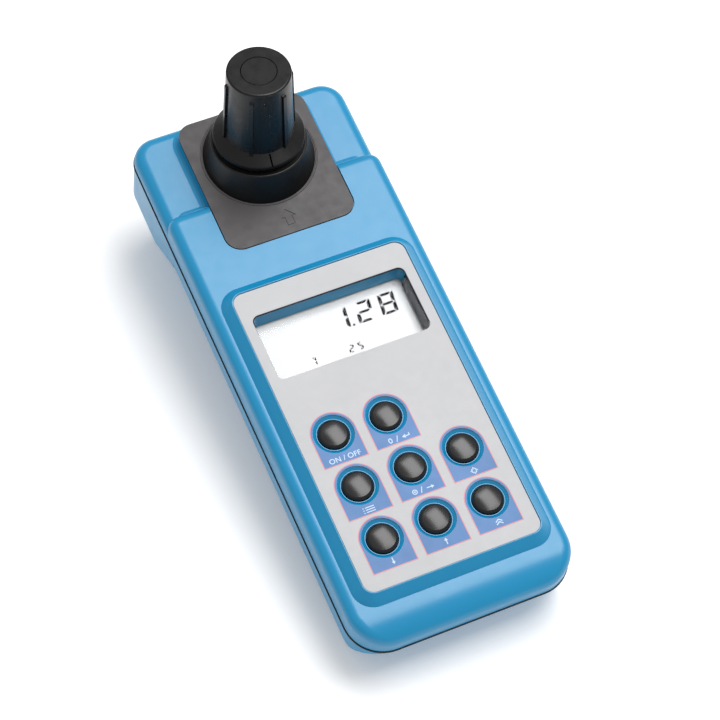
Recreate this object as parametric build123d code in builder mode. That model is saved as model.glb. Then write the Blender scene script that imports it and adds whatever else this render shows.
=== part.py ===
from build123d import *
import os
from math import atan, cos, degrees, radians, sin, sqrt

# Hand-held sample meter on its table: a long case that rests on two front feet and on
# the deep housing of its sample well, so the keypad slopes to the front and the well
# stands upright.  Frame: +X to the right, +Y to the head (rear), +Z up, floor at Z = 0.

os.makedirs("parts", exist_ok=True)

# ---------------------------------------------------------------- driving dimensions (mm)
tilt = 8.4                 # slope of the case, degrees
y_org, z_org = 26.55, 51.15  # where the top edge of the keypad label lies in the row frame

half_w = 41.0              # half width of the case
y_front, y_rear = -135.6, 75.7
r_front, r_rear = 13.5, 9.0
wall = 2.6

z_label = 0.0              # label face
z_top = -3.3               # main top face
z_sh = -8.5                # shoulders beside the head plate
y_step = 39.5              # where the shoulders begin
x_block = 24.1             # half width of the raised block under the head plate
z_seam_t, z_seam_b = -13.95, -14.8   # upper and lower lip of the seam
y_under = 19.5             # how far the front of the lower shell runs in under the seam
z_bot = -31.5              # underside of the slab
z_hump = -37.5             # underside of the full-width part of the head

lab_hw, lab_l, lab_r, lab_t = 32.55, 119.0, 3.9, 0.4
rim_h = 0.35               # lip round the label stands this far above it
rim, apron = 0.75, 3.35    # lip round the label, and its sloping border
win_hw, win_y0, win_y1 = 28.9, -9.7, -35.7
win_z = -6.2
plate_hw, plate_y0, plate_y1, plate_r, plate_t = 24.4, 17.9, 72.2, 5.8, 1.2

key_x = (-19.6, -0.05, 19.5)
key_y = (-60.9, -81.45, -102.0)
key_r, key_hole_r, key_dish_r, key_dish_d = 5.45, 5.65, 7.25, 0.85
key_flange_r = 6.6
deck_z = -3.2              # underside of the deck that carries the label
board_z = -12.6            # top face of the main board
board_t = 1.6

y_axis_b = 51.5            # well axis where it crosses the main top face
rim_z = 64.8               # rim of the well collar above the floor
well_r = 12.9
vial_r, vial_z0, vial_z1, neck_r, neck_z = 12.25, 9.6, 62.0, 9.6, 74.2
cap_top_z, cap_flange_r = 101.5, 16.45
optic_z = 28.0             # height of the light beam

cell_r, cell_l, cell_z = 7.1, 49.2, -22.5
cell_x = (-22.05, -7.35, 7.35, 22.05)
tray_y0, tray_y1, tray_hw = -98.2, -43.8, 30.0
door_y0, door_y1, door_hw, door_t = -100.5, -42.2, 31.2, 1.5

screw_front = [(-30.5, -117.2), (30.5, -117.2)]
screw_mid = [(-30.5, 14), (30.5, 14)]
screw_rear = [(-22.6, 59.5), (22.6, 59.5)]
board_screw = [(-32, -4.5), (32, -4.5), (-32, -109.5), (32, -109.5)]
foot_r = 5.5
foot_front = [(-27, -107.6), (27, -107.6)]

# ---------------------------------------------------------------- frames
ct, st = cos(radians(tilt)), sin(radians(tilt))
BODY = Plane(origin=(0, y_org, z_org), x_dir=(1, 0, 0), z_dir=(0, -st, ct))
SIDE = Plane(origin=(0, y_org, z_org), x_dir=(0, ct, st), z_dir=(1, 0, 0))
FRONT = Plane(origin=(0, y_org, z_org), x_dir=(1, 0, 0), z_dir=(0, -ct, -st))


def world(x, y, z):
    return (x, y_org + y * ct - z * st, z_org + y * st + z * ct)


def local(p):
    dy, dz = p.Y - y_org, p.Z - z_org
    return p.X, dy * ct + dz * st, -dy * st + dz * ct


y_well = world(0, y_axis_b, z_top)[1]
WELL = Plane(origin=(0, y_well, 0), x_dir=(1, 0, 0), z_dir=(0, -1, 0))   # local x, y = radius, height
WELL_AXIS = Axis((0, y_well, 0), (0, 0, 1))


def case_outline(sk, inset=0.0):
    with Locations((0, (y_front + y_rear) / 2)):
        Rectangle(2 * (half_w - inset), y_rear - y_front - 2 * inset)
    fillet(sk.vertices().group_by(Axis.Y)[0], r_front - inset)
    fillet(sk.vertices().group_by(Axis.Y)[-1], r_rear - inset)


def box_xy(x0, x1, y0, y1, r=0.0):
    with Locations(((x0 + x1) / 2, (y0 + y1) / 2)):
        if r:
            RectangleRounded(abs(x1 - x0), abs(y1 - y0), r)
        else:
            Rectangle(abs(x1 - x0), abs(y1 - y0))


def write(builder, name):
    builder.part.label = name
    export_step(builder.part, "parts/" + name + ".step")
    b = builder.part.bounding_box()
    print(name, len(builder.part.solids()), builder.part.is_valid, round(builder.part.volume, 1),
          [round(v, 2) for v in (b.min.X, b.min.Y, b.min.Z, b.max.X, b.max.Y, b.max.Z)])


# ---------------------------------------------------------------- upper case shell
arc_r, arc_run = 14.0, 11.0        # the front end rolls down before its edge round
cz, cy = z_top - arc_r, y_front + arc_run
with BuildPart() as lip_body:                      # full outline up to the shoulders
    with BuildSketch(BODY.offset(z_seam_t)) as s:
        case_outline(s)
    extrude(amount=z_sh - z_seam_t)
    fillet(lip_body.edges().filter_by(lambda e: abs(local(e.center())[2] - z_sh) < 0.05), 4.2)

with BuildPart() as deck_body:                     # the deep part in front of the step
    with BuildSketch(BODY.offset(z_seam_t)) as s:
        box_xy(-half_w, half_w, y_front, y_step)
        fillet(s.vertices().group_by(Axis.Y)[0], r_front)
        fillet(s.vertices().group_by(Axis.Y)[-1], 4.5)
    extrude(amount=z_top - z_seam_t)
    with BuildSketch(SIDE):
        with BuildLine():
            a0 = (cy, z_top)
            a1 = (cy - 7.0, cz + sqrt(arc_r ** 2 - 49.0))
            a2 = (cy - 12.6, cz + sqrt(arc_r ** 2 - 12.6 ** 2))
            ThreePointArc(a0, a1, a2)
            Polyline(a2, (a2[0], -40), (y_rear + 5, -40), (y_rear + 5, z_top), a0)
        make_face()
    extrude(amount=60, both=True, mode=Mode.INTERSECT)
    fillet(deck_body.edges().filter_by(lambda e: local(e.center())[2] > z_top - 6.2
           and (abs(local(e.center())[0]) > 1 or abs(local(e.center())[1] - cy) > 1)), 3.8)

with BuildPart() as block_body:                    # the raised block under the head plate
    with BuildSketch(BODY.offset(z_seam_t)) as s:
        box_xy(-x_block, x_block, y_step - 12, plate_y1 - 0.3)
        fillet(s.vertices().group_by(Axis.Y)[-1], plate_r - 0.3)
    extrude(amount=z_top - z_seam_t)

flare = [(2.4, 0.0), (1.38, 0.32), (0.62, 0.94), (0.12, 1.95), (0.0, 2.6)]     # run, rise of the hollow foot
with BuildPart() as foot_flare:                    # soft foot of the block and of the step
    for (d0, h0), (d1, h1) in zip(flare[:-1], flare[1:]):
        with BuildSketch(BODY.offset(z_sh + h0)) as s:
            box_xy(-x_block - d0, x_block + d0, y_step - 6, plate_y1 - 0.3 + d0)
            fillet(s.vertices().group_by(Axis.Y)[-1], plate_r - 0.3 + d0)
        extrude(amount=h1 - h0, taper=degrees(atan((d0 - d1) / (h1 - h0))))
        with BuildSketch(BODY.offset(z_sh + h0)) as s:
            box_xy(-36.2, 36.2, y_step - 6, y_step + d0)
            fillet(s.vertices().group_by(Axis.Y)[-1], 2.6 + d0 / 2)
        extrude(amount=h1 - h0, taper=degrees(atan((d0 - d1) / (h1 - h0))))

with BuildPart() as top_shell:
    add(lip_body.part)
    add(deck_body.part)
    add(block_body.part)
    add(foot_flare.part)
    # raised table that carries the label, with its sloping border
    with BuildSketch(BODY.offset(z_top)):
        box_xy(-(lab_hw + rim + apron), lab_hw + rim + apron, rim + apron, -lab_l - rim - apron, 7.8)
    extrude(amount=rim_h - z_top, taper=44.6)
    # hollow inside
    with BuildSketch(BODY.offset(z_seam_t - 1)) as s:
        case_outline(s, wall)
    extrude(amount=-11.4 - z_seam_t + 1, mode=Mode.SUBTRACT)
    with BuildSketch(BODY.offset(z_seam_t)):
        box_xy(-38.3, 38.3, y_front + 12, 32.6)
        box_xy(-22.3, 22.3, 32, 69.9)
    extrude(amount=-5.9 - z_seam_t, mode=Mode.SUBTRACT)
    with BuildSketch(BODY.offset(-6.0)):
        box_xy(-33.5, 33.5, -119.5, -1.0, 3)
    extrude(amount=deck_z + 6.0, mode=Mode.SUBTRACT)
    # skirt round the display opening, the screw posts and the board posts
    with BuildSketch(BODY.offset(win_z)):
        box_xy(-30.9, 30.9, -7.7, -37.7, 1.5)
    extrude(amount=deck_z - win_z + 0.5)
    with BuildSketch(BODY.offset(z_seam_t)):
        with Locations(*screw_front, *screw_mid):
            Circle(3.6)
    extrude(amount=-5.4 - z_seam_t)
    with BuildSketch(BODY.offset(z_seam_t)):
        with Locations(*screw_rear):
            Circle(3.6)
    extrude(amount=-10.2 - z_seam_t)
    with BuildSketch(BODY.offset(board_z)):
        with Locations(*board_screw):
            Circle(2.8)
    extrude(amount=deck_z - 1.5 - board_z)
    with BuildSketch(BODY.offset(z_seam_t)):
        with Locations(*screw_front, *screw_mid, *screw_rear):
            Circle(1.5)
    extrude(amount=3.6, mode=Mode.SUBTRACT)
    with BuildSketch(BODY.offset(board_z)):
        with Locations(*board_screw):
            Circle(1.05)
    extrude(amount=5.0, mode=Mode.SUBTRACT)
    # label seat, display opening with sloping walls, key holes in their dishes
    with BuildSketch(BODY.offset(-lab_t)):
        box_xy(-lab_hw - 0.25, lab_hw + 0.25, 0.25, -lab_l - 0.25, lab_r + 0.25)
    extrude(amount=2, mode=Mode.SUBTRACT)
    with BuildSketch(BODY.offset(win_z)):
        box_xy(-27.8, 27.8, win_y0 - 1.1, win_y1 + 1.1, 1.6)
    with BuildSketch(BODY.offset(-lab_t)):
        box_xy(-win_hw, win_hw, win_y0, win_y1, 2.6)
    loft(mode=Mode.SUBTRACT)
    for j, yk in enumerate(key_y):
        for i, xk in enumerate(key_x):
            if (i, j) == (2, 0):
                continue
            with BuildSketch(BODY.offset(-lab_t - key_dish_d)):
                with Locations((xk, yk)):
                    Circle(key_hole_r + 0.4)
            with BuildSketch(BODY.offset(-lab_t)):
                with Locations((xk, yk)):
                    Circle(key_dish_r)
            loft(mode=Mode.SUBTRACT)
            with BuildSketch(BODY.offset(-lab_t - key_dish_d - 0.2)):
                with Locations((xk, yk)):
                    Circle(key_hole_r + 0.45)
                    Circle(key_hole_r, mode=Mode.SUBTRACT)
            extrude(amount=0.6, taper=8)
            with BuildSketch(BODY.offset(-8)):
                with Locations((xk, yk)):
                    Circle(key_hole_r)
            extrude(amount=9, mode=Mode.SUBTRACT)
    # seat of the head plate and the hole for the well collar
    with BuildSketch(BODY.offset(z_top - plate_t)):
        box_xy(-plate_hw - 0.4, plate_hw + 0.4, plate_y0 - 0.4, plate_y1 + 0.6, plate_r + 0.4)
    extrude(amount=3, mode=Mode.SUBTRACT)
    with BuildSketch(Plane.XY.offset(38)):
        with Locations((0, y_well)):
            Circle(17.4)
    extrude(amount=30, mode=Mode.SUBTRACT)
write(top_shell, "top_shell")

# ---------------------------------------------------------------- lower case shell
with BuildPart() as slab:
    with BuildSketch(BODY.offset(z_bot)):
        box_xy(-half_w, half_w, y_front, 60, r_front)
    extrude(amount=z_seam_b - z_bot)
    fillet(slab.edges().filter_by(lambda e: abs(local(e.center())[2] - z_bot) < 0.05), 10.5)
    with BuildSketch(SIDE):      # the front runs in under the seam
        with BuildLine():
            Polyline((y_front - 5, z_seam_b - 0.3), (y_front, z_seam_b - 0.3), (y_front + y_under, z_bot),
                     (y_front + y_under, z_bot - 5), (y_front - 5, z_bot - 5), close=True)
        make_face()
    extrude(amount=60, both=True, mode=Mode.SUBTRACT)

with BuildPart() as head_upper:
    with BuildSketch(BODY.offset(-45)) as s:
        case_outline(s)
    extrude(amount=z_seam_b + 45)
    with BuildSketch(SIDE):
        with BuildLine():
            Polyline((30, z_seam_b), (30, -27.6), (46, z_hump), (y_rear + 3, z_hump), (y_rear + 3, z_seam_b), close=True)
        make_face()
    extrude(amount=60, both=True, mode=Mode.INTERSECT)
    fillet(head_upper.edges().filter_by(lambda e: local(e.center())[2] < -27.8 and local(e.center())[1] > 31
           and (abs(local(e.center())[0]) > 20 or local(e.center())[1] > y_rear - 1)), 4.5)

with BuildPart() as head_lower:
    with BuildSketch(SIDE):
        with BuildLine():
            Polyline((19, -20), (19, -29), (23.5, -64), (68.5, -64), (73.6, -33), (73.6, -20), close=True)
        make_face()
    extrude(amount=60, both=True)
    with BuildSketch(FRONT):
        with BuildLine():
            Polyline((-34, -20), (-34, -34), (-28.5, -64), (28.5, -64), (34, -34), (34, -20), close=True)
        make_face()
    extrude(amount=150, both=True, mode=Mode.INTERSECT)
    with BuildSketch(Plane.XY.offset(1.0)):
        Rectangle(300, 400)
    extrude(amount=-60, mode=Mode.SUBTRACT)
    fillet(head_lower.edges().filter_by(lambda e: e.length > 20 and abs(local(e.center())[0]) > 28
           and not abs(local(e.center())[1] - 46) < 14), 5.0)
    fillet(head_lower.edges().filter_by(lambda e: e.center().Z < 1.05), 2.0)

with BuildPart() as bottom_shell:
    add(slab.part)
    add(head_upper.part)
    add(head_lower.part)
    # hollow inside
    with BuildPart(mode=Mode.PRIVATE) as slab_hollow:
        with BuildSketch(BODY.offset(z_bot + 2.5)):
            box_xy(-half_w + wall, half_w - wall, y_front + wall, 60 - wall, r_front - wall)
        extrude(amount=z_seam_b - z_bot)
        fillet(slab_hollow.edges().filter_by(lambda e: abs(local(e.center())[2] - z_bot - 2.5) < 0.05), 8.4)
        with BuildSketch(SIDE):
            with BuildLine():
                Polyline((y_front - 5, z_seam_b - 0.3), (y_front + 3.2, z_seam_b - 0.3), (y_front + y_under + 3.2, z_bot),
                         (y_front + y_under, z_bot - 5), (y_front - 5, z_bot - 5), close=True)
            make_face()
        extrude(amount=60, both=True, mode=Mode.SUBTRACT)
    add(slab_hollow.part, mode=Mode.SUBTRACT)
    with BuildSketch(SIDE):
        with BuildLine():
            Polyline((36, z_seam_b + 1), (36, -29.0), (47, -35.0), (y_rear - 2.6, -35.0), (y_rear - 2.6, z_seam_b + 1), close=True)
        make_face()
    extrude(amount=half_w - wall - 1.4, both=True, mode=Mode.SUBTRACT)
with BuildPart() as head_hollow:
    with BuildSketch(SIDE):
        with BuildLine():
            Polyline((22.0, -20), (22.0, -29), (26.2, -64), (65.9, -64), (70.8, -33), (70.8, -20), close=True)
        make_face()
    extrude(amount=60, both=True)
    with BuildSketch(FRONT):
        with BuildLine():
            Polyline((-31.2, -20), (-31.2, -34), (-25.8, -64), (25.8, -64), (31.2, -34), (31.2, -20), close=True)
        make_face()
    extrude(amount=150, both=True, mode=Mode.INTERSECT)
    with BuildSketch(Plane.XY.offset(3.6)):
        Rectangle(300, 400)
    extrude(amount=-60, mode=Mode.SUBTRACT)

with BuildPart() as lower:
    add(bottom_shell.part)
    add(head_hollow.part, mode=Mode.SUBTRACT)
    # posts for the case screws, the battery tray and the seat of the optics block
    with BuildSketch(BODY.offset(z_bot + 2.0)):
        with Locations(*screw_front):
            Circle(4.5)
        with Locations(*screw_mid):
            Circle(3.6)
        box_xy(-tray_hw - 1.5, tray_hw + 1.5, tray_y0 - 1.5, tray_y1 + 1.5, 1.0)
        box_xy(-tray_hw, tray_hw, tray_y0, tray_y1, 0.5)
    extrude(amount=z_seam_b - z_bot - 2.0)
    with BuildSketch(BODY.offset(z_bot + 2.4)):
        box_xy(-tray_hw, tray_hw, tray_y0, tray_y1)
    extrude(amount=40, mode=Mode.SUBTRACT)
    with BuildSketch(BODY.offset(-60)):
        with Locations(*screw_rear):
            Circle(4.6)
    extrude(amount=z_seam_b + 60)
    with BuildSketch(Plane.XY.offset(3.0)):
        with Locations((0, y_well)):
            Circle(15)
            Circle(11, mode=Mode.SUBTRACT)
    extrude(amount=2.9)
    with BuildSketch(Plane.XY.offset(1.0)):
        with Locations((0, 70)):
            Rectangle(90, 90)
    extrude(amount=-60, mode=Mode.SUBTRACT)
    with BuildSketch(SIDE):
        with BuildLine():
            Polyline((y_front - 5, z_seam_b - 0.3), (y_front, z_seam_b - 0.3), (y_front + y_under, z_bot),
                     (y_front + y_under, z_bot - 5), (y_front - 5, z_bot - 5), close=True)
        make_face()
    extrude(amount=60, both=True, mode=Mode.SUBTRACT)
    # screw holes and their counterbores
    with BuildSketch(BODY.offset(-70)):
        with Locations(*screw_front, *screw_mid, *screw_rear):
            Circle(1.7)
    extrude(amount=60, mode=Mode.SUBTRACT)
    with BuildSketch(BODY.offset(-70)):
        with Locations(*screw_mid):
            Circle(3.3)
    extrude(amount=70 - 28.6, mode=Mode.SUBTRACT)
    with BuildSketch(BODY.offset(-70)):
        with Locations(*screw_front):
            Circle(3.3)
    extrude(amount=70 - 26.0, mode=Mode.SUBTRACT)
    with BuildSketch(BODY.offset(-70)):
        with Locations(*screw_rear):
            Circle(3.3)
    extrude(amount=70 - 38.0, mode=Mode.SUBTRACT)
    # battery opening, the seat of its door and the two hinge notches
    with BuildSketch(BODY.offset(z_bot - 1)):
        box_xy(-tray_hw, tray_hw, tray_y0, tray_y1, 1.0)
    extrude(amount=4, mode=Mode.SUBTRACT)
    with BuildSketch(BODY.offset(z_bot - 1)):
        box_xy(-door_hw - 0.3, door_hw + 0.3, door_y0 - 0.3, door_y1 + 0.3, 2.3)
    extrude(amount=1 + door_t + 0.2, mode=Mode.SUBTRACT)
    with BuildSketch(BODY.offset(z_bot - 1)):
        box_xy(-22.4, -11.6, door_y1 - 0.5, door_y1 + 1.8)
        box_xy(11.6, 22.4, door_y1 - 0.5, door_y1 + 1.8)
        box_xy(-9, 9, door_y0 - 4.5, door_y0 + 0.5, 1.5)
    extrude(amount=1 + 1.9, mode=Mode.SUBTRACT)
    # foot seats
    with BuildSketch(BODY.offset(z_bot - 1)):
        with Locations(*foot_front):
            Circle(foot_r + 0.05)
    extrude(amount=1.6, mode=Mode.SUBTRACT)
    with BuildSketch(Plane.XY.offset(0)):
        with Locations((-18, y_well - 12), (18, y_well - 12)):
            Circle(foot_r + 0.05)
    extrude(amount=1.6, mode=Mode.SUBTRACT)
    # hole for the power socket in the rear wall
    with BuildSketch(Plane(origin=world(13, y_rear + 2, -24.5), x_dir=(1, 0, 0), z_dir=(0, -ct, -st))):
        Circle(4.2)
    extrude(amount=8, mode=Mode.SUBTRACT)
write(lower, "bottom_shell")

# ---------------------------------------------------------------- seam gasket
with BuildPart() as gasket:
    with BuildSketch(BODY.offset(z_seam_b)) as s:
        case_outline(s, -0.3)
    extrude(amount=z_seam_t - z_seam_b)
    fillet(gasket.edges().filter_by(lambda e: abs(local(e.center())[2] - z_seam_t) < 0.01), 0.25)
    with BuildSketch(BODY.offset(z_seam_b - 1)) as s:
        case_outline(s, wall - 0.2)
    extrude(amount=3, mode=Mode.SUBTRACT)
write(gasket, "shell_gasket")

# ---------------------------------------------------------------- keypad label
with BuildPart() as label:
    with BuildSketch(BODY.offset(-lab_t)):
        box_xy(-lab_hw, lab_hw, 0, -lab_l, lab_r)
        with Locations((0, (win_y0 + win_y1) / 2)):
            RectangleRounded(2 * win_hw, win_y0 - win_y1, 2.6, mode=Mode.SUBTRACT)
        with Locations(*[(key_x[i], key_y[j]) for j in range(3) for i in range(3) if (i, j) != (2, 0)]):
            Circle(key_dish_r, mode=Mode.SUBTRACT)
    extrude(amount=lab_t)
write(label, "keypad_label")

# ---------------------------------------------------------------- display
with BuildPart() as window:
    with BuildSketch(BODY.offset(-7.25)):
        box_xy(-30.0, 30.0, -8.0, -37.4, 0.6)
    extrude(amount=0.95)
write(window, "display_window")
with BuildPart() as lcd:
    with BuildSketch(BODY.offset(-9.6)):
        box_xy(-29.4, 29.4, -8.3, -37.1)
    extrude(amount=1.1)
    with BuildSketch(BODY.offset(-8.5)):
        box_xy(-29.4, 29.4, -8.3, -34.4)
    extrude(amount=1.15)
write(lcd, "lcd_panel")
with BuildPart() as lcd_frame:
    with BuildSketch(BODY.offset(-12.55)):
        box_xy(-31.6, 31.6, -7.5, -38.8, 1.0)
        with Locations((0, -22.7)):
            Rectangle(60.3, 29.7, mode=Mode.SUBTRACT)
    extrude(amount=6.25)
write(lcd_frame, "lcd_frame")
with BuildPart() as zebra:
    with BuildSketch(BODY.offset(-12.55)):
        box_xy(-27.5, 27.5, -9.0, -11.2)
        box_xy(-27.5, 27.5, -34.6, -36.8)
    extrude(amount=2.9)
write(zebra, "contact_strips")

# ---------------------------------------------------------------- main board, switches, chips
with BuildPart() as board:
    with BuildSketch(BODY.offset(board_z - board_t)):
        box_xy(-35, 35, 8, -113, 1.5)
        with Locations(*board_screw):
            Circle(1.2, mode=Mode.SUBTRACT)
    extrude(amount=board_t)
write(board, "main_board")
with BuildPart() as switches:
    for j, yk in enumerate(key_y):
        for i, xk in enumerate(key_x):
            if (i, j) == (2, 0):
                continue
            with BuildSketch(BODY.offset(board_z)):
                with Locations((xk, yk)):
                    Rectangle(6.2, 6.2)
            extrude(amount=3.0)
            with BuildSketch(BODY.offset(board_z + 3.0)):
                with Locations((xk, yk)):
                    Circle(1.7)
            extrude(amount=0.5)
write(switches, "key_switches")
with BuildPart() as chips:
    with BuildSketch(BODY.offset(board_z)):
        box_xy(-9, 9, -46, -53)
        box_xy(14, 28, -41.5, -51.5)
        box_xy(-29, -17, -43, -50)
        box_xy(-8, 8, 6, -1)
    extrude(amount=2.2)
write(chips, "board_chips")
with BuildPart() as bscrews:
    for x, y in board_screw:
        p = Plane(origin=world(x, y, board_z - board_t), x_dir=(1, 0, 0), z_dir=(0, -st, ct))
        with BuildSketch(p):
            Circle(1.0)
        extrude(amount=6.0)
        with BuildSketch(p.offset(-1.4)):
            Circle(2.3)
        extrude(amount=1.4)
        with BuildSketch(p.offset(-1.4)):
            Rectangle(2.6, 0.6)
            Rectangle(0.6, 2.6)
        extrude(amount=0.8, mode=Mode.SUBTRACT)
write(bscrews, "board_screws")

# ---------------------------------------------------------------- eight domed keys
dome_a, dome_z = 4.5, 0.46                             # where the dome meets its rounded edge
dome_r = (dome_a ** 2 + (1.05 - dome_z) ** 2) / (2 * (1.05 - dome_z))
dome_m = 1.05 - dome_r + sqrt(dome_r ** 2 - (dome_a / 2) ** 2)
key_names = {(0, 0): "key_power", (1, 0): "key_zero", (0, 1): "key_log", (1, 1): "key_read",
             (2, 1): "key_cal", (0, 2): "key_down", (1, 2): "key_up", (2, 2): "key_shift"}
for (i, j), kname in key_names.items():
    o = world(key_x[i], key_y[j], 0)
    kp = Plane(origin=o, x_dir=(1, 0, 0), z_dir=(0, -ct, -st))      # local x, y = radius, height over the label
    with BuildPart() as key:
        with BuildSketch(kp):
            with BuildLine():
                Polyline((0, -8.15), (1.75, -8.15), (1.75, -4.5), (key_flange_r, -4.5), (key_flange_r, -3.55),
                         (key_r, -3.55), (key_r, -1.0))
                ThreePointArc((key_r, -1.0), (5.22, -0.12), (dome_a, dome_z))
                ThreePointArc((dome_a, dome_z), (dome_a / 2, dome_m), (0, 1.05))
                Line((0, 1.05), (0, -8.15))
            make_face()
        revolve(axis=Axis(o, (0, -st, ct)))
    write(key, kname)

# ---------------------------------------------------------------- head plate and well collar
with BuildPart() as plate:
    with BuildSketch(BODY.offset(z_top - plate_t)):
        box_xy(-plate_hw, plate_hw, plate_y0, plate_y1, plate_r)
    extrude(amount=plate_t)
    # outline of an arrow, cut into the face
    with BuildSketch(BODY.offset(z_top - 0.22)):
        with BuildLine():
            Polyline((0, 27.6), (3.0, 24.3), (1.5, 24.3), (1.5, 21.0), (-1.5, 21.0), (-1.5, 24.3), (-3.0, 24.3), close=True)
        make_face()
        with BuildLine():
            Polyline((0, 27.0), (2.2, 24.6), (1.15, 24.6), (1.15, 21.35), (-1.15, 21.35), (-1.15, 24.6), (-2.2, 24.6), close=True)
        make_face(mode=Mode.SUBTRACT)
    extrude(amount=1, mode=Mode.SUBTRACT)
    with BuildSketch(Plane.XY.offset(38)):
        with Locations((0, y_well)):
            Circle(17.0)
    extrude(amount=30, mode=Mode.SUBTRACT)
    # low rolled edge round the foot of the collar
    with BuildSketch(BODY.offset(z_top - 0.1)):
        with Locations((0, y_axis_b)):
            Circle(21.2)
            Circle(20.35, mode=Mode.SUBTRACT)
    extrude(amount=0.32, taper=40)
write(plate, "head_plate")

with BuildPart() as collar_cone:
    with BuildSketch(BODY.offset(z_top)):
        with Locations((0, y_axis_b)):
            Circle(20.2)
    with BuildSketch(Plane.XY.offset(rim_z)):
        with Locations((0, y_well)):
            Circle(17.3)
    loft()
with BuildPart() as collar:
    add(collar_cone.part)
    with BuildSketch(Plane.XY.offset(48)):
        with Locations((0, y_well)):
            Circle(16.8)
    extrude(amount=8)
    with BuildSketch(Plane.XY.offset(40)):
        with Locations((0, y_well)):
            Circle(well_r)
    extrude(amount=60, mode=Mode.SUBTRACT)
    with BuildSketch(Plane.XY.offset(rim_z - 1.4)):
        with Locations((0, y_well)):
            Circle(16.4)
    extrude(amount=10, mode=Mode.SUBTRACT)
    fillet(collar.edges().filter_by(GeomType.CIRCLE).filter_by(lambda e: e.center().Z > rim_z - 0.1 and e.radius > 16.9), 0.6)
write(collar, "well_collar")

with BuildPart() as seal:
    with BuildSketch(Plane.XY.offset(rim_z - 1.4)):
        with Locations((0, y_well)):
            Circle(16.2)
            Circle(13.3, mode=Mode.SUBTRACT)
    extrude(amount=0.5)
write(seal, "well_seal")

# ---------------------------------------------------------------- optics block with source and detectors
with BuildPart() as block:
    with BuildSketch(Plane.XY.offset(5.95)):
        with Locations((0, y_well)):
            Circle(17.2)
    extrude(amount=47.9 - 5.95)
    with BuildSketch(Plane.XY.offset(9.0)):
        with Locations((0, y_well)):
            Circle(well_r)
    extrude(amount=60, mode=Mode.SUBTRACT)
    with BuildSketch(Plane.XY.offset(optic_z - 5)):
        with Locations((0, y_well)):
            box = Rectangle(45, 12)
            Rectangle(12, 12)
        with Locations((0, y_well - 11.5)):
            Rectangle(12, 23)
        with Locations((0, y_well)):
            Circle(well_r, mode=Mode.SUBTRACT)
    extrude(amount=10)
    for d in ((1, 0, 0), (-1, 0, 0), (0, -1, 0)):
        with BuildSketch(Plane(origin=(0, y_well, optic_z), z_dir=d)):
            Circle(2.6)
        extrude(amount=30, mode=Mode.SUBTRACT)
write(block, "optics_block")
for nm, d, r0, r1, fl in (("light_source", (-1, 0, 0), 15.0, 24.0, 3.0),
                          ("straight_detector", (1, 0, 0), 15.0, 24.0, 3.4),
                          ("scatter_detector", (0, -1, 0), 15.0, 24.6, 3.4)):
    with BuildPart() as opto:
        with BuildSketch(Plane(origin=(d[0] * r0, y_well + d[1] * r0, optic_z), z_dir=d)):
            Circle(2.5)
        extrude(amount=r1 - r0)
        out = 22.6 if d[0] else 23.1
        with BuildSketch(Plane(origin=(d[0] * out, y_well + d[1] * out, optic_z), z_dir=d)):
            Circle(fl)
        extrude(amount=1.0)
    write(opto, nm)
with BuildPart() as lens:
    with BuildSketch(Plane(origin=(-13.3, y_well, optic_z), z_dir=(-1, 0, 0))):
        Circle(2.5)
    extrude(amount=1.5)
write(lens, "beam_lens")

# ---------------------------------------------------------------- sample vial, liner and its cap
with BuildPart() as vial:
    with BuildSketch(WELL):
        with BuildLine():
            Polyline((0, vial_z0), (11.2, vial_z0), (vial_r, vial_z0 + 1.0), (vial_r, vial_z1 - 4.5), (vial_r - 0.6, vial_z1 - 2.6),
                     (neck_r, vial_z1 - 1.0), (neck_r, neck_z), (8.2, neck_z), (8.2, vial_z1 - 1.8),
                     (vial_r - 1.5, vial_z1 - 3.6), (vial_r - 1.2, vial_z1 - 5.0), (vial_r - 1.2, vial_z0 + 2.4), (10.2, vial_z0 + 1.6),
                     (0, vial_z0 + 1.6), close=True)
        make_face()
    revolve(axis=WELL_AXIS)
write(vial, "glass_vial")
with BuildPart() as liner:
    with BuildSketch(Plane.XY.offset(neck_z + 0.1)):
        with Locations((0, y_well)):
            Circle(9.8)
    extrude(amount=1.6)
write(liner, "cap_liner")
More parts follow.
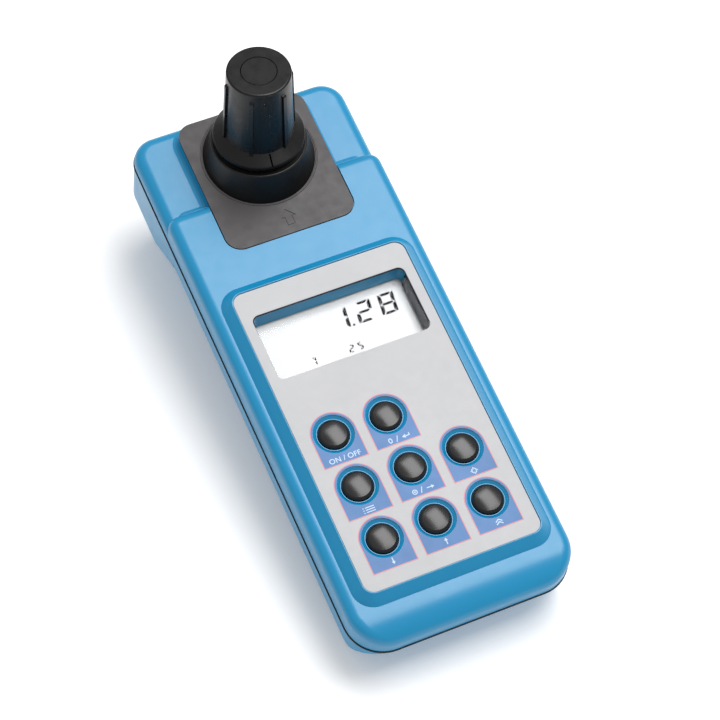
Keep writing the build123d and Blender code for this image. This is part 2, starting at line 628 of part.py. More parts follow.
with BuildPart() as cap:
    with BuildSketch(WELL):
        with BuildLine():
            Polyline((0, 76.3), (10.3, 76.3), (10.3, 62.9), (12.3, 62.9), (12.3, 67.0), (14.3, 67.0), (14.3, 64.6), (15.4, 64.6),
                     (15.7, 66.8), (cap_flange_r, 67.3), (cap_flange_r, 68.3), (16.2, 68.6), (12.45, 71.3), (11.43, cap_top_z - 0.75))
            ThreePointArc((11.43, cap_top_z - 0.75), (11.2, cap_top_z - 0.21), (10.68, cap_top_z))
            Polyline((10.68, cap_top_z), (6.5, cap_top_z), (6.34, cap_top_z - 0.3), (6.18, cap_top_z - 0.08),
                     (0, cap_top_z - 0.08), (0, 76.3))
        make_face()
    revolve(axis=WELL_AXIS)
    # finger ribs with round tops
    for a in (-125.3, -65.3, -5.3, 54.7, 114.7, 174.7):
        d = (cos(radians(a)), sin(radians(a)), 0)
        rp = Plane(origin=(0, y_well, 0), x_dir=d, z_dir=(d[1], -d[0], 0))      # local x, y = radius, height
        with BuildSketch(rp):
            with BuildLine():
                Polyline((10.0, 70.5), (13.3, 70.5), (12.32, 96.8))
                ThreePointArc((12.32, 96.8), (12.04, 97.6), (11.3, 97.95))
                Polyline((11.3, 97.95), (10.0, 97.95), (10.0, 70.5))
            make_face()
        extrude(amount=0.72, both=True)
    # index notch in the flange, towards the keypad
    nd = (cos(radians(-95.5)), sin(radians(-95.5)), 0)
    with BuildSketch(Plane(origin=(0, y_well, 0), x_dir=(-nd[1], nd[0], 0), z_dir=nd).offset(12.7)):
        with BuildLine():
            Polyline((-0.3, 67.9), (0.3, 67.9), (0.3, 72.5), (-0.3, 72.5), close=True)
        make_face()
    extrude(amount=5, mode=Mode.SUBTRACT)
write(cap, "vial_cap")

# ---------------------------------------------------------------- batteries, contacts and the door
with BuildPart() as cells:
    for k, x in enumerate(cell_x):
        s_ = 1 if k % 2 else -1
        mid = (tray_y0 + tray_y1) / 2
        o = world(x, mid - s_ * (cell_l / 2 + 0.6), cell_z)
        p = Plane(origin=o, x_dir=(1, 0, 0), z_dir=(0, s_ * ct, s_ * st))
        with BuildSketch(p):
            Circle(cell_r)
        extrude(amount=cell_l)
        with BuildSketch(p.offset(cell_l)):
            Circle(2.7)
        extrude(amount=1.2)
write(cells, "battery_cells")
with BuildPart() as contacts:
    for y0, s_ in ((tray_y0 + 0.05, 1), (tray_y1 - 0.05, -1)):
        for x in cell_x:
            with BuildSketch(BODY.offset(cell_z - 5)):
                box_xy(x - 5, x + 5, y0, y0 + s_ * 0.4)
            extrude(amount=10)
            with BuildSketch(Plane(origin=world(x, y0 + s_ * 0.4, cell_z), x_dir=(1, 0, 0), z_dir=(0, s_ * ct, s_ * st))):
                Circle(3.0)
                Circle(2.2, mode=Mode.SUBTRACT)
            extrude(amount=0.8)
write(contacts, "battery_contacts")
with BuildPart() as door:
    with BuildSketch(BODY.offset(z_bot)):
        box_xy(-door_hw, door_hw, door_y0, door_y1, 2.0)
    extrude(amount=door_t)
    # two hinge lugs at the rear edge, a thumb tongue at the front and grip ribs
    with BuildSketch(BODY.offset(z_bot)):
        box_xy(-22, -12, door_y1 - 2, door_y1 + 1.3)
        box_xy(12, 22, door_y1 - 2, door_y1 + 1.3)
    extrude(amount=1.0)
    with BuildSketch(BODY.offset(z_bot)):
        box_xy(-6, 6, door_y0 - 2.6, door_y0 + 2, 1.0)
    extrude(amount=1.2)
    with BuildSketch(BODY.offset(z_bot + 0.8)):
        for yy in range(5):
            box_xy(-9 + yy, 9 - yy, door_y0 + 6 + 2.2 * yy, door_y0 + 7 + 2.2 * yy)
    extrude(amount=-2, mode=Mode.SUBTRACT)
write(door, "battery_door")

# ---------------------------------------------------------------- power socket
jp = Plane(origin=world(13, y_rear - 0.5, -24.5), x_dir=(1, 0, 0), z_dir=(0, -ct, -st))
with BuildPart() as jack:
    with BuildSketch(jp):
        Circle(4.0)
    extrude(amount=3.0)
    with BuildSketch(jp.offset(2.9)):
        Rectangle(9.0, 9.0)
    extrude(amount=7.6)
    with BuildSketch(jp.offset(-1)):
        Circle(2.75)
    extrude(amount=9.5, mode=Mode.SUBTRACT)
    with BuildSketch(jp.offset(9.0)):
        Circle(1.0)
    extrude(amount=-7.5)
write(jack, "power_socket")

# ---------------------------------------------------------------- feet and case screws
with BuildPart() as feet:
    for x, y in foot_front:
        with BuildSketch(Plane(origin=world(x, y, z_bot + 0.6), x_dir=(1, 0, 0), z_dir=(0, st, -ct))):
            Circle(foot_r)
        extrude(amount=8)
    with BuildSketch(Plane.XY.offset(0)):
        Rectangle(300, 400)
    extrude(amount=-30, mode=Mode.SUBTRACT)
    for x in (-18, 18):
        with BuildSketch(Plane.XY.offset(0)):
            with Locations((x, y_well - 12)):
                Circle(foot_r)
        extrude(amount=1.6)
write(feet, "rubber_feet")
with BuildPart() as screws:
    for pts, zh, zt in ((screw_front, -26.0, -12.4), (screw_mid, -28.6, -12.4), (screw_rear, -38.0, -12.4)):
        for x, y in pts:
            p = Plane(origin=world(x, y, zh), x_dir=(1, 0, 0), z_dir=(0, -st, ct))
            with BuildSketch(p):
                Circle(1.4)
            extrude(amount=zt - zh)
            with BuildSketch(p.offset(-2.0)):
                Circle(2.9)
            extrude(amount=2.0)
            with BuildSketch(p.offset(-2.0)):
                Rectangle(3.4, 0.8)
                Rectangle(0.8, 3.4)
            extrude(amount=1.2, mode=Mode.SUBTRACT)
write(screws, "case_screws")
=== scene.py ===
from math import atan2, cos, pi, radians, sin

import bmesh
import bpy
from mathutils import Matrix, Vector
from mathutils.geometry import tessellate_polygon


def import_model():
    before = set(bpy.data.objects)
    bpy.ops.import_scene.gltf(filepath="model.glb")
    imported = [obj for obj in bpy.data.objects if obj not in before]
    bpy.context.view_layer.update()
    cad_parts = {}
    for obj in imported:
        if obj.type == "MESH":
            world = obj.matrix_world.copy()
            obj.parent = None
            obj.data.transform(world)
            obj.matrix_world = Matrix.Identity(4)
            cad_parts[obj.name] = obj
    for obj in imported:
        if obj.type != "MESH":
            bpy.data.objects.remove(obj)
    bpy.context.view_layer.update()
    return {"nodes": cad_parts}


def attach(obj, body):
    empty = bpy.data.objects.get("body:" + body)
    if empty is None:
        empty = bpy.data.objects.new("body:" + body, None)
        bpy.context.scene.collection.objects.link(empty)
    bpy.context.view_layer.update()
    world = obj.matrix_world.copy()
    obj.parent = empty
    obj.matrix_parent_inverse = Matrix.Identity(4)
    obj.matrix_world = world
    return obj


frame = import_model()
nodes = frame["nodes"]

# ------------------------------------------------------------------ frames (same numbers as the CAD)
TILT = radians(8.4)
CT, ST = cos(TILT), sin(TILT)
Y_ORG, Z_ORG = 26.55, 51.15


def world(x, y, z):
    """A point given in the sloping frame of the case, in mm, as a point of the row frame in metres."""
    return Vector((x, Y_ORG + y * CT - z * ST, Z_ORG + y * ST + z * CT)) * 0.001


def lin(r, g, b):
    """Linear colour of an 8-bit screen colour."""
    out = []
    for c in (r, g, b):
        c /= 255.0
        out.append(c / 12.92 if c <= 0.04045 else ((c + 0.055) / 1.055) ** 2.4)
    return (*out, 1.0)


# ------------------------------------------------------------------ materials
def new_material(name):
    m = bpy.data.materials.new(name)
    m.use_nodes = True
    nt = m.node_tree
    bsdf = next(n for n in nt.nodes if n.type == "BSDF_PRINCIPLED")
    out = next(n for n in nt.nodes if n.type == "OUTPUT_MATERIAL")
    return m, nt, bsdf, out


def noise(nt, scale, detail=2.0, rough=0.5, dist=0.0):
    co = nt.nodes.new("ShaderNodeTexCoord")
    n = nt.nodes.new("ShaderNodeTexNoise")
    n.inputs["Scale"].default_value = scale
    n.inputs["Detail"].default_value = detail
    n.inputs["Roughness"].default_value = rough
    n.inputs["Distortion"].default_value = dist
    nt.links.new(co.outputs["Object"], n.inputs["Vector"])
    return n


def ramp(nt, source, stops):
    r = nt.nodes.new("ShaderNodeValToRGB")
    e = r.color_ramp.elements
    while len(e) < len(stops):
        e.new(0.5)
    for k, (p, c) in enumerate(stops):
        e[k].position = p
        e[k].color = c if len(c) == 4 else (*c, 1.0)
    nt.links.new(source, r.inputs["Fac"])
    return r


def scaled(c, f):
    return (min(c[0] * f, 1), min(c[1] * f, 1), min(c[2] * f, 1), 1.0)


def moulded(name, colour, rough, grain=1400.0, bump=0.10, depth=0.00002, var=0.05, rough_var=0.05,
            spec=0.5, ior=1.5, metallic=0.0, blotch=35.0, coat=0.0, coat_rough=0.1, sheen=0.0):
    """A moulded or pressed surface: faint blotches of tone, fine grain in the bump and an uneven gloss."""
    m, nt, b, out = new_material(name)
    big = noise(nt, blotch, 3.0, 0.55)
    tone = ramp(nt, big.outputs["Fac"], [(0.3, scaled(colour, 1 - var)), (0.7, scaled(colour, 1 + var))])
    fine = noise(nt, grain, 3.0, 0.6)
    mix = nt.nodes.new("ShaderNodeMix")
    mix.data_type = "RGBA"
    mix.blend_type = "MULTIPLY"
    mix.inputs["Factor"].default_value = 0.5
    speck = ramp(nt, fine.outputs["Fac"], [(0.3, (1 - 1.2 * var,) * 3), (0.7, (1.0, 1.0, 1.0))])
    nt.links.new(tone.outputs["Color"], mix.inputs["A"])
    nt.links.new(speck.outputs["Color"], mix.inputs["B"])
    nt.links.new(mix.outputs["Result"], b.inputs["Base Color"])
    mid = noise(nt, grain * 0.12, 2.0, 0.5)
    mr = nt.nodes.new("ShaderNodeMapRange")
    mr.inputs["From Min"].default_value = 0.3
    mr.inputs["From Max"].default_value = 0.7
    mr.inputs["To Min"].default_value = max(rough - rough_var, 0.02)
    mr.inputs["To Max"].default_value = min(rough + rough_var, 1.0)
    nt.links.new(mid.outputs["Fac"], mr.inputs["Value"])
    nt.links.new(mr.outputs["Result"], b.inputs["Roughness"])
    if bump:
        bp = nt.nodes.new("ShaderNodeBump")
        bp.inputs["Strength"].default_value = bump
        bp.inputs["Distance"].default_value = depth
        nt.links.new(fine.outputs["Fac"], bp.inputs["Height"])
        nt.links.new(bp.outputs["Normal"], b.inputs["Normal"])
    b.inputs["Metallic"].default_value = metallic
    b.inputs["IOR"].default_value = ior
    b.inputs["Specular IOR Level"].default_value = spec
    b.inputs["Coat Weight"].default_value = coat
    b.inputs["Coat Roughness"].default_value = coat_rough
    b.inputs["Sheen Weight"].default_value = sheen
    return m


def clear(name, colour, rough, ior):
    """Clear material that lets lamps through to what is behind it."""
    m, nt, b, out = new_material(name)
    b.inputs["Base Color"].default_value = colour
    b.inputs["Transmission Weight"].default_value = 1.0
    b.inputs["IOR"].default_value = ior
    n = noise(nt, 60.0, 2.0, 0.5)
    mr = nt.nodes.new("ShaderNodeMapRange")
    mr.inputs["To Min"].default_value = rough * 0.6
    mr.inputs["To Max"].default_value = rough * 1.4
    nt.links.new(n.outputs["Fac"], mr.inputs["Value"])
    nt.links.new(mr.outputs["Result"], b.inputs["Roughness"])
    lp = nt.nodes.new("ShaderNodeLightPath")
    tr = nt.nodes.new("ShaderNodeBsdfTransparent")
    mx = nt.nodes.new("ShaderNodeMixShader")
    nt.links.new(lp.outputs["Is Shadow Ray"], mx.inputs["Fac"])
    nt.links.new(b.outputs["BSDF"], mx.inputs[1])
    nt.links.new(tr.outputs["BSDF"], mx.inputs[2])
    nt.links.new(mx.outputs["Shader"], out.inputs["Surface"])
    return m


BLUE = lin(8, 131, 178)
M = {}
M["blue"] = moulded("blue_case", BLUE, 0.32, grain=1800, bump=0.05, depth=0.00001, var=0.015, rough_var=0.02, spec=0.54)
M["rubber"] = moulded("black_rubber", lin(12, 13, 15), 0.65, grain=2200, bump=0.3, var=0.1, spec=0.3)
M["trim"] = moulded("trim_smoke", lin(30, 38, 46), 0.16, grain=900, bump=0.02, depth=0.00001, var=0.06, spec=0.6)
M["label"] = moulded("label_grey", lin(178, 179, 182), 0.50, grain=2600, bump=0.12, depth=0.00001, var=0.03, rough_var=0.03)
M["window"] = clear("clear_plastic", (1, 1, 1, 1), 0.01, 1.12)
M["glass"] = clear("vial_glass", (0.97, 1.0, 0.985, 1), 0.015, 1.52)
M["black"] = moulded("black_plastic", lin(26, 26, 28), 0.42, grain=1800, bump=0.15, var=0.08)
M["collar"] = moulded("collar_black", lin(6, 7, 8), 0.36, grain=2400, bump=0.10, depth=0.00001, var=0.08, spec=0.32)
M["cap"] = moulded("cap_black", lin(8, 8, 9), 0.31, grain=2600, bump=0.12, depth=0.000012, var=0.08, spec=0.32)
M["plate"] = moulded("plate_grey", lin(57, 54, 56), 0.38, grain=2200, bump=0.35, depth=0.00002, var=0.05, spec=0.34)
M["key"] = moulded("key_black", lin(7, 7, 8), 0.22, grain=900, bump=0.05, depth=0.00001, var=0.06, rough_var=0.03)
M["zebra"] = moulded("silicone_strip", lin(190, 150, 160), 0.7, grain=3000, var=0.1)
M["board"] = moulded("board_green", lin(18, 92, 52), 0.35, grain=900, bump=0.15, var=0.12, coat=0.3)
M["switch"] = moulded("switch_metal", lin(170, 172, 176), 0.35, grain=1500, metallic=0.9, var=0.05)
M["chip"] = moulded("chip_black", lin(24, 24, 26), 0.5, grain=3500, bump=0.2, var=0.06)
M["steel"] = moulded("zinc_steel", lin(188, 190, 195), 0.28, grain=1200, metallic=1.0, var=0.04)
M["cell"] = moulded("cell_wrap", lin(60, 66, 74), 0.25, grain=800, bump=0.03, var=0.04, coat=0.4)
M["liner"] = moulded("white_liner", lin(228, 228, 224), 0.55, grain=1500, bump=0.2, var=0.03)
M["optic"] = moulded("opto_tint", lin(170, 40, 34), 0.15, grain=500, bump=0.0, var=0.05)
M["seal"] = moulded("seal_black", lin(12, 12, 12), 0.7, grain=2000, bump=0.2, var=0.1)
M["patch"] = moulded("patch_print", lin(76, 120, 174), 0.50, grain=1500, bump=0.12, depth=0.00001, var=0.10, rough_var=0.03)
M["outline"] = moulded("outline_print", lin(206, 132, 138), 0.50, grain=1500, bump=0.0, var=0.04)
M["legend"] = moulded("legend_print", lin(186, 208, 232), 0.50, grain=1500, bump=0.0, var=0.02)
M["segment"] = moulded("segment_black", lin(16, 16, 18), 0.60, grain=1500, bump=0.0, var=0.05, spec=0.05)
# painted shadow: a near-black colour for the shade line along the rear and right edges of the display opening
M["edge"] = moulded("painted_shadow_line_dark", lin(14, 22, 32), 0.55, grain=1500, bump=0.0, var=0.05, spec=0.2)

# reflective liquid-crystal glass: an even white ground with a very slight tint toward its edges, plus a weak emission
# that is a painted glow lifting it to white
m, nt, b, out = new_material("lcd_glass")
n = noise(nt, 18.0, 2.0, 0.5)
r = ramp(nt, n.outputs["Fac"], [(0.2, lin(182, 184, 186)), (0.8, lin(186, 188, 190))])
nt.links.new(r.outputs["Color"], b.inputs["Base Color"])
nt.links.new(r.outputs["Color"], b.inputs["Emission Color"])
# painted glow: the unlit glass is given a weak emission so that it reads white
b.inputs["Emission Strength"].default_value = 0.06
b.inputs["Roughness"].default_value = 0.50
b.inputs["Specular IOR Level"].default_value = 0.05
M["lcd"] = m

LOOKS = {
    "top_shell": "blue", "bottom_shell": "blue", "battery_door": "blue", "shell_gasket": "rubber",
    "keypad_label": "label", "display_window": "window", "lcd_panel": "lcd", "lcd_frame": "black",
    "contact_strips": "zebra", "main_board": "board", "key_switches": "switch", "board_chips": "chip",
    "board_screws": "steel", "head_plate": "plate", "well_collar": "collar", "well_seal": "seal",
    "optics_block": "black", "light_source": "optic", "straight_detector": "chip", "scatter_detector": "chip",
    "beam_lens": "glass", "glass_vial": "glass", "cap_liner": "liner", "vial_cap": "cap", "battery_cells": "cell",
    "battery_contacts": "steel", "power_socket": "black", "rubber_feet": "rubber", "case_screws": "steel",
}
for name, obj in nodes.items():
    look = M[LOOKS.get(name, "key")]
    obj.data.materials.clear()
    obj.data.materials.append(look)
    for p in obj.data.polygons:
        p.material_index = 0


# ------------------------------------------------------------------ printed and displayed marks
class Marks:
    """Flat shapes drawn in the sloping frame of the case, collected into one closed mesh."""

    def __init__(self, z0, z1):
        self.z0, self.z1, self.v, self.f = z0, z1, [], []

    def add(self, outer, holes=()):
        rings = [list(outer), *[list(h) for h in holes]]
        flat = [p for ring in rings for p in ring]
        tris = tessellate_polygon([[Vector((x, y, 0)) for x, y in ring] for ring in rings])
        n, base = len(flat), len(self.v)
        self.v += [world(x, y, self.z1) for x, y in flat] + [world(x, y, self.z0) for x, y in flat]
        for a, b_, c in tris:
            (x0, y0), (x1, y1), (x2, y2) = flat[a], flat[b_], flat[c]
            area = (x1 - x0) * (y2 - y0) - (x2 - x0) * (y1 - y0)
            if abs(area) < 1e-9:
                continue
            if area < 0:
                b_, c = c, b_
            self.f.append((base + a, base + b_, base + c))
            self.f.append((base + n + a, base + n + c, base + n + b_))
        start = 0
        for ring in rings:
            k = len(ring)
            for i in range(k):
                p, q = base + start + i, base + start + (i + 1) % k
                self.f.append((p, q, q + n, p + n))
            start += k

    def build(self, name, material, body, slot=None):
        me = bpy.data.meshes.new(name)
        me.from_pydata(self.v, [], self.f)
        bm = bmesh.new()
        bm.from_mesh(me)
        bmesh.ops.remove_doubles(bm, verts=bm.verts, dist=1e-8)
        bmesh.ops.recalc_face_normals(bm, faces=bm.faces)
        bm.to_mesh(me)
        bm.free()
        ob = bpy.data.objects.new(name, me)
        bpy.context.scene.collection.objects.link(ob)
        me.materials.append(material)
        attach(ob, body)
        return ob


def circle(cx, cy, r, n=64, a0=0.0, a1=2 * pi, closed=True):
    k = n if closed else n - 1
    return [(cx + r * cos(a0 + (a1 - a0) * i / k), cy + r * sin(a0 + (a1 - a0) * i / k)) for i in range(n)]


KEY_X, KEY_Y = (-19.6, -0.05, 19.5), (-60.9, -81.45, -102.0)
KEYS = [(i, j) for j in range(3) for i in range(3) if (i, j) != (2, 0)]
DROP = 11.05          # straight sides of a patch end this far below its key


def patch_ring(cx, cy, r, extra):
    """Round top, straight sides and a square foot."""
    ring = circle(cx, cy, r, 48, 0.0, pi, closed=False)
    return ring + [(cx - r, cy - DROP - extra), (cx + r, cy - DROP - extra)]


patches, outlines = Marks(-0.02, 0.03), Marks(-0.02, 0.035)
for i, j in KEYS:
    x, y = KEY_X[i], KEY_Y[j]
    patches.add(patch_ring(x, y, 7.92, 0.0), [circle(x, y, 7.27, 64)])
    outlines.add(patch_ring(x, y, 8.24, 0.32), [patch_ring(x, y, 7.92, 0.0)])
patches.build("print_patches", M["patch"], "case")
outlines.build("print_outlines", M["outline"], "case")

# legends: plain words for the power key, plain signs for the rest
legends = Marks(0.02, 0.06)


def stroke(marks, pts, w):
    """A bent line of even width w."""
    left, right = [], []
    for k, p in enumerate(pts):
        a = Vector(pts[max(k - 1, 0)])
        c = Vector(pts[min(k + 1, len(pts) - 1)])
        p = Vector(p)
        if 0 < k < len(pts) - 1:
            d0, d1 = (p - a).normalized(), (c - p).normalized()
            t = (d0 + d1).normalized()
            nrm = Vector((-t.y, t.x))
            s = w / 2 / max(nrm.dot(Vector((-d0.y, d0.x))), 0.3)
        else:
            t = (c - a).normalized()
            nrm, s = Vector((-t.y, t.x)), w / 2
        left.append(tuple(p + nrm * s))
        right.append(tuple(p - nrm * s))
    marks.add(right + left[::-1])


def arrow(marks, tip, tail, w, head):
    """A shaft from tail to tip with a filled head."""
    tip, tail = Vector(tip), Vector(tail)
    d = (tip - tail).normalized()
    nrm = Vector((-d.y, d.x))
    neck = tip - d * head
    pts = [tail - nrm * w / 2, neck - nrm * w / 2, neck - nrm * head * 0.62, tip, neck + nrm * head * 0.62,
           neck + nrm * w / 2, tail + nrm * w / 2]
    marks.add([tuple(p) for p in pts])


for (i, j) in KEYS:
    x, y = KEY_X[i], KEY_Y[j]
    if (i, j) == (1, 0):      # a nought, a stroke and an enter arrow
        legends.add([(x - 2.6 + 0.72 * cos(a * pi / 16), y - 9.5 + 0.98 * sin(a * pi / 16)) for a in range(32)],
                    [[(x - 2.6 + 0.40 * cos(a * pi / 16), y - 9.5 + 0.64 * sin(a * pi / 16)) for a in range(32)]])
        stroke(legends, [(x - 0.55, y - 10.6), (x + 0.35, y - 8.4)], 0.30)
        stroke(legends, [(x + 4.4, y - 8.65), (x + 4.4, y - 9.55), (x + 2.9, y - 9.55)], 0.34)
        legends.add([(x + 1.7, y - 9.55), (x + 3.0, y - 10.3), (x + 3.0, y - 8.8)])
    elif (i, j) == (1, 1):    # a filled ring, a stroke and an arrow
        legends.add(circle(x - 2.6, y - 9.35, 0.95, 32), [circle(x - 2.6, y - 9.35, 0.62, 32)])
        legends.add(circle(x - 2.6, y - 9.35, 0.30, 24))
        stroke(legends, [(x - 0.55, y - 10.45), (x + 0.35, y - 8.25)], 0.30)
        arrow(legends, (x + 4.6, y - 9.35), (x + 1.8, y - 9.35), 0.34, 1.1)
    elif (i, j) == (0, 1):    # three lines of a list
        for k in range(3):
            yy = y - 8.6 - 0.85 * k
            legends.add([(x - 2.1, yy - 0.17), (x - 1.7, yy - 0.17), (x - 1.7, yy + 0.17), (x - 2.1, yy + 0.17)])
            legends.add([(x - 1.2, yy - 0.17), (x + 2.1, yy - 0.17), (x + 2.1, yy + 0.17), (x - 1.2, yy + 0.17)])
    elif (i, j) == (2, 1):    # cross hairs
        for sx, sy in ((1, 0), (-1, 0), (0, 1), (0, -1)):
            stroke(legends, [(x + sx * 0.45, y - 9.4 + sy * 0.45), (x + sx * 1.35, y - 9.4 + sy * 1.35)], 0.32)
        legends.add(circle(x, y - 9.4, 1.02, 32), [circle(x, y - 9.4, 0.72, 32)])
    elif (i, j) == (0, 2):    # down
        arrow(legends, (x, y - 10.15), (x, y - 7.65), 0.36, 1.05)
    elif (i, j) == (1, 2):    # up
        arrow(legends, (x, y - 7.65), (x, y - 10.15), 0.36, 1.05)
    elif (i, j) == (2, 2):    # two chevrons
        for k in range(2):
            stroke(legends, [(x - 1.2, y - 9.95 + 0.95 * k), (x, y - 9.1 + 0.95 * k), (x + 1.2, y - 9.95 + 0.95 * k)], 0.36)
legends.build("print_legends", M["legend"], "case")


def words(text, cx, cy, height, z0, z1, name, material):
    """Plain block letters laid on the case, centred on (cx, cy)."""
    cu = bpy.data.curves.new(name, "FONT")
    cu.body = text
    cu.align_x, cu.align_y = "CENTER", "CENTER"
    cu.size = height / 0.69
    cu.space_character = 1.04
    cu.extrude = (z1 - z0) / 2
    cu.offset = 0.035
    tmp = bpy.data.objects.new(name + "_t", cu)
    bpy.context.scene.collection.objects.link(tmp)
    bpy.context.view_layer.update()
    me = bpy.data.meshes.new_from_object(tmp.evaluated_get(bpy.context.evaluated_depsgraph_get()))
    bpy.data.objects.remove(tmp)
    for v in me.vertices:
        v.co = world(cx + v.co.x, cy + v.co.y, (z0 + z1) / 2 + v.co.z)
    me.name = name
    ob = bpy.data.objects.new(name, me)
    bpy.context.scene.collection.objects.link(ob)
    me.materials.clear()
    me.materials.append(material)
    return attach(ob, "case")


words("ON / OFF", KEY_X[0] + 0.1, KEY_Y[0] - 9.5, 1.85, 0.02, 0.06, "print_on_off", M["legend"])

# the reading: leaning seven-segment figures on the face of the liquid-crystal glass
digits = Marks(-7.37, -7.30)
LEAN = 0.115


def figure(marks, right, top, w, h, on, sw, sh, gap):
    """One figure. right is the outer right edge at the top; sw and sh are the widths of its upright and level strokes."""
    def P(u, v):            # u from 0 at left to w, v from 0 at top down to h
        return (right - w + u - v * LEAN, top - v)
    half = h / 2
    parts = {
        "a": [(sw * 0.55 + gap, 0), (w - sw * 0.55 - gap, 0), (w - sw - gap * 1.4, sh), (sw + gap * 1.4, sh)],
        "g": [(sw * 0.5 + gap, half), (sw * 0.9 + gap, half - sh / 2), (w - sw * 0.9 - gap, half - sh / 2),
              (w - sw * 0.5 - gap, half), (w - sw * 0.9 - gap, half + sh / 2), (sw * 0.9 + gap, half + sh / 2)],
        "d": [(sw + gap * 1.4, h - sh), (w - sw - gap * 1.4, h - sh), (w - sw * 0.55 - gap, h), (sw * 0.55 + gap, h)],
        "f": [(0, gap), (sw * 0.4, gap * 0.7), (sw, sh + gap * 1.2), (sw, half - sh * 0.6 - gap), (sw * 0.4, half - gap), (0, half - gap)],
        "e": [(0, half + gap), (sw * 0.4, half + gap), (sw, half + sh * 0.6 + gap), (sw, h - sh - gap * 1.2), (sw * 0.4, h - gap * 0.7), (0, h - gap)],
        "b": [(w, gap), (w, half - gap), (w - sw * 0.4, half - gap), (w - sw, half - sh * 0.6 - gap), (w - sw, sh + gap * 1.2), (w - sw * 0.4, gap * 0.7)],
        "c": [(w, half + gap), (w, h - gap), (w - sw * 0.4, h - gap * 0.7), (w - sw, h - sh - gap * 1.2), (w - sw, half + sh * 0.6 + gap), (w - sw * 0.4, half + gap)],
    }
    for s in on:
        marks.add([P(u, v) for u, v in parts[s]])


TOP = -14.15
figure(digits, 5.5, TOP, 5.6, 8.2, "bc", 1.35, 1.0, 0.24)
figure(digits, 14.75, TOP, 6.1, 8.2, "abged", 1.35, 1.0, 0.24)
figure(digits, 23.75, TOP, 6.1, 8.2, "abcdefg", 1.35, 1.0, 0.24)
digits.add([(5.35, -21.5), (6.2, -21.5), (6.1, -22.35), (5.25, -22.35)])
figure(digits, -11.9, -28.6, 1.95, 3.05, "abc", 0.68, 0.56, 0.14)
figure(digits, 2.35, -28.6, 1.95, 3.05, "abged", 0.68, 0.56, 0.14)
figure(digits, 5.75, -28.6, 1.95, 3.05, "afgcd", 0.68, 0.56, 0.14)
digits.build("lcd_digits", M["segment"], "case")

# smoked strips on the right, front and left walls of the display opening
def trim_strip():
    """A thin band that follows the sloping wall from the window up to the label."""
    hw0, y00, y10 = 27.8, -10.8, -34.6       # foot of the wall, at the window
    hw1, y01, y11 = 28.9, -9.7, -35.7        # its edge at the label
    def ring(f, inset):
        hw = hw0 + (hw1 - hw0) * f - inset
        ya, yb = y00 + (y01 - y00) * f, y10 + (y11 - y10) * f + inset
        r = 1.6 + (2.6 - 1.6) * f - inset * 0.6
        pts = [(hw, ya - 2.9)]
        pts += [(hw - r + r * cos(a), yb + r + r * sin(a)) for a in [-k * pi / 16 for k in range(9)]]
        pts += [(-hw + r + r * cos(a), yb + r + r * sin(a)) for a in [-pi / 2 - k * pi / 16 for k in range(9)]]
        pts.append((-hw, ya - 2.9))
        return pts
    sections = [(0.02, 0.02, -6.1), (0.02, 0.34, -6.12), (0.22, 0.30, -4.9), (0.8, 0.24, -1.55), (0.965, 0.20, -0.62), (0.965, 0.02, -0.60)]
    verts, faces = [], []
    rings = [[world(x, y, z) for x, y in ring(f, d)] for f, d, z in sections]
    n, m = len(rings[0]), len(rings)
    for r_ in rings:
        verts += r_
    for k in range(m):
        k2 = (k + 1) % m
        for i in range(n - 1):
            faces.append((k * n + i, k * n + i + 1, k2 * n + i + 1, k2 * n + i))
    faces.append(tuple(k * n for k in range(m)))
    faces.append(tuple(k * n + n - 1 for k in reversed(range(m))))
    me = bpy.data.meshes.new("display_trim")
    me.from_pydata(verts, [], faces)
    bm = bmesh.new()
    bm.from_mesh(me)
    bmesh.ops.triangulate(bm, faces=bm.faces)
    bmesh.ops.recalc_face_normals(bm, faces=bm.faces)
    bm.to_mesh(me)
    bm.free()
    ob = bpy.data.objects.new("display_trim", me)
    bpy.context.scene.collection.objects.link(ob)
    me.materials.append(M["trim"])
    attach(ob, "case")


trim_strip()

# painted shadow line along the rear and right edges of the display opening, where the edge of the opening is in shade
edge = Marks(-0.46, -0.03)
path = [(28.68, -33.0), (28.68, -12.3)]
path += [(26.3 + 2.38 * cos(k * pi / 16), -12.3 + 2.38 * sin(k * pi / 16)) for k in range(1, 8)]
path += [(26.3, -9.92), (-26.3, -9.92)]
path += [(-26.3 - 2.38 * sin(k * pi / 16), -12.3 + 2.38 * cos(k * pi / 16)) for k in range(1, 8)]
path += [(-28.68, -12.3), (-28.68, -13.6)]
stroke(edge, path, 0.36)
edge.build("display_painted_shadow_line", M["edge"], "case")

# ------------------------------------------------------------------ floor, light, camera
floor_me = bpy.data.meshes.new("floor")
bm = bmesh.new()
bmesh.ops.create_grid(bm, x_segments=8, y_segments=8, size=6.0)
bm.to_mesh(floor_me)
bm.free()
floor = bpy.data.objects.new("floor", floor_me)
bpy.context.scene.collection.objects.link(floor)
fm, fnt, fb, fout = new_material("floor_white")
fn = noise(fnt, 4.0, 2.0, 0.5)
fr = ramp(fnt, fn.outputs["Fac"], [(0.2, (0.925, 0.92, 0.918)), (0.8, (0.94, 0.935, 0.93))])
fnt.links.new(fr.outputs["Color"], fb.inputs["Base Color"])
fb.inputs["Roughness"].default_value = 0.9
fb.inputs["Specular IOR Level"].default_value = 0.1
fb.inputs["Emission Color"].default_value = (1.0, 0.99, 0.985, 1.0)
fb.inputs["Emission Strength"].default_value = 0.13
floor_me.materials.append(fm)

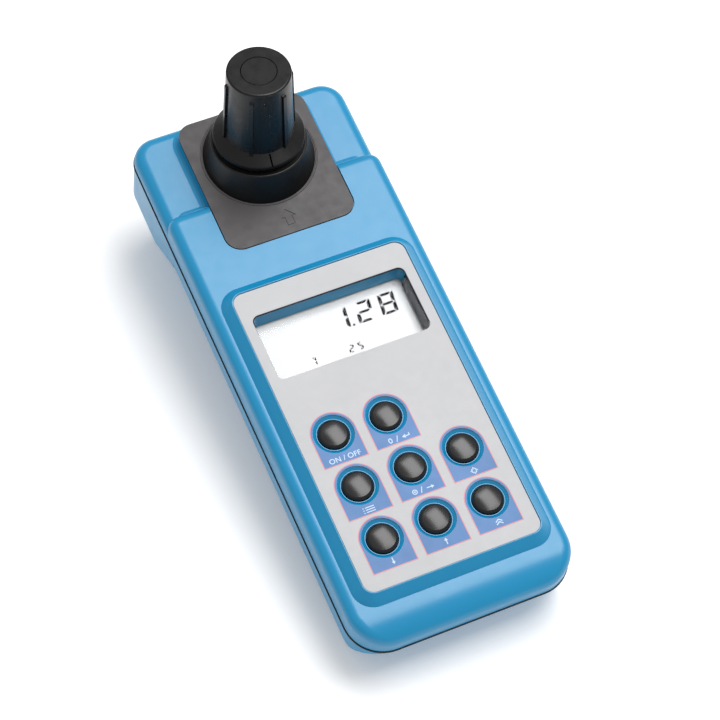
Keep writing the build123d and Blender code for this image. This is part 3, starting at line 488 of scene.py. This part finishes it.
w = bpy.data.worlds.new("studio")
bpy.context.scene.world = w
w.use_nodes = True
wt = w.node_tree
bg = next(n for n in wt.nodes if n.type == "BACKGROUND")
wc = wt.nodes.new("ShaderNodeTexCoord")
ws = wt.nodes.new("ShaderNodeSeparateXYZ")
wr = wt.nodes.new("ShaderNodeValToRGB")
we = wr.color_ramp.elements
we[0].position, we[0].color = 0.0, (0.56, 0.555, 0.55, 1.0)
we[1].position, we[1].color = 0.9, (1.0, 0.985, 0.97, 1.0)
wt.links.new(wc.outputs["Generated"], ws.inputs["Vector"])
wt.links.new(ws.outputs["Z"], wr.inputs["Fac"])
wt.links.new(wr.outputs["Color"], bg.inputs["Color"])
bg.inputs["Strength"].default_value = 0.70


def area(name, direction, dist, sx, sy, power, colour=(1, 1, 1), aim=(0, 0, 0.03)):
    d = Vector(direction).normalized()
    la = bpy.data.lights.new(name, "AREA")
    la.shape = "RECTANGLE"
    la.size, la.size_y = sx, sy
    la.energy = power
    la.color = colour
    o = bpy.data.objects.new(name, la)
    bpy.context.scene.collection.objects.link(o)
    o.location = Vector(aim) + d * dist
    o.rotation_mode = "QUATERNION"
    o.rotation_quaternion = d.to_track_quat("Z", "Y")
    return o


area("softbox", (0.29, 0.068, 0.93), 1.22, 1.05, 0.64, 13.6)

scene = bpy.context.scene
scene.view_settings.view_transform = "Standard"
scene.view_settings.look = "None"
scene.view_settings.exposure = 0.0
scene.view_settings.gamma = 1.0

cam_data = bpy.data.cameras.new("camera")
cam_data.sensor_width = 36.0
cam_data.lens = 135.49
cam_data.clip_start, cam_data.clip_end = 0.05, 30.0
cam = bpy.data.objects.new("camera", cam_data)
scene.collection.objects.link(cam)
right = Vector((0.91228, -0.408435, 0.030431))
down = Vector((-0.320952, -0.759079, -0.566382))
fwd = Vector((0.25443, 0.506933, -0.823581))
loc = Vector((-0.23752, -0.48472, 0.81449))
rot = Matrix((right, -down, -fwd)).transposed()
cam.rotation_mode = "QUATERNION"
cam.rotation_quaternion = rot.to_quaternion()
cam.location = loc
scene.camera = cam
